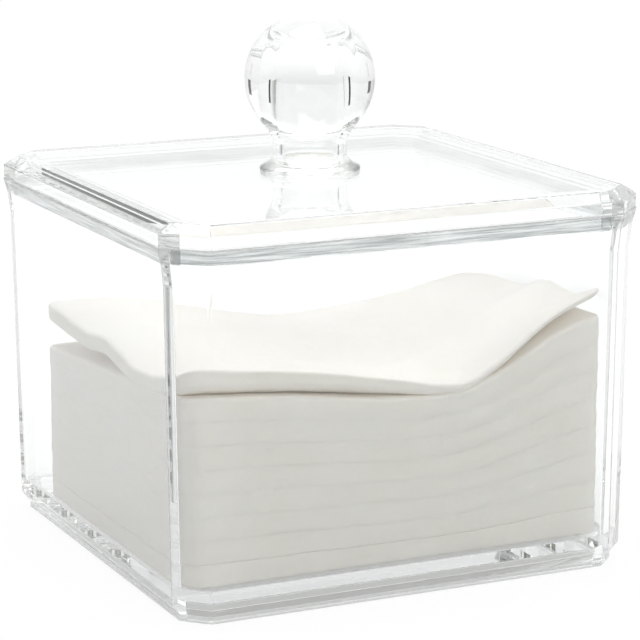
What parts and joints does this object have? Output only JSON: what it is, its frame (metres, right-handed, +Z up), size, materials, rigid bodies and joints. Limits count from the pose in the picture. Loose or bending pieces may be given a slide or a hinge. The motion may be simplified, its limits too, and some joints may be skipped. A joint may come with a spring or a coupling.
{
  "type": "cotton pad box",
  "caption": "Clear square box with cut corners and a lift-off lid with a ball knob, holding a soft wavy stack of thick cotton pads.",
  "frame": {"origin": "centre of the underside, on the surface that the box stands on", "axes": "+Z up through the knob, -Y towards the front wall, +X to the right"},
  "size_m": [0.0954, 0.0954, 0.1018],
  "materials": {
    "clear_plastic": "clear, polished",
    "cotton": "soft, matt"
  },
  "bodies": {
    "box": {"box_shell": "clear_plastic", "cotton_pad_1": "cotton", "cotton_pad_2": "cotton", "cotton_pad_3": "cotton", "cotton_pad_4": "cotton", "cotton_pad_5": "cotton", "cotton_pad_6": "cotton", "cotton_pad_7": "cotton", "cotton_pad_8": "cotton", "top_cotton_pad": "cotton"},
    "lid": {"lid_plate": "clear_plastic", "lid_knob": "clear_plastic"}
  },
  "joints": [
    {"name": "lid_lift", "type": "slide", "parent": "box", "child": "lid", "axis": [0, 0, 1], "range_m": [0, 0.06]}
  ]
}
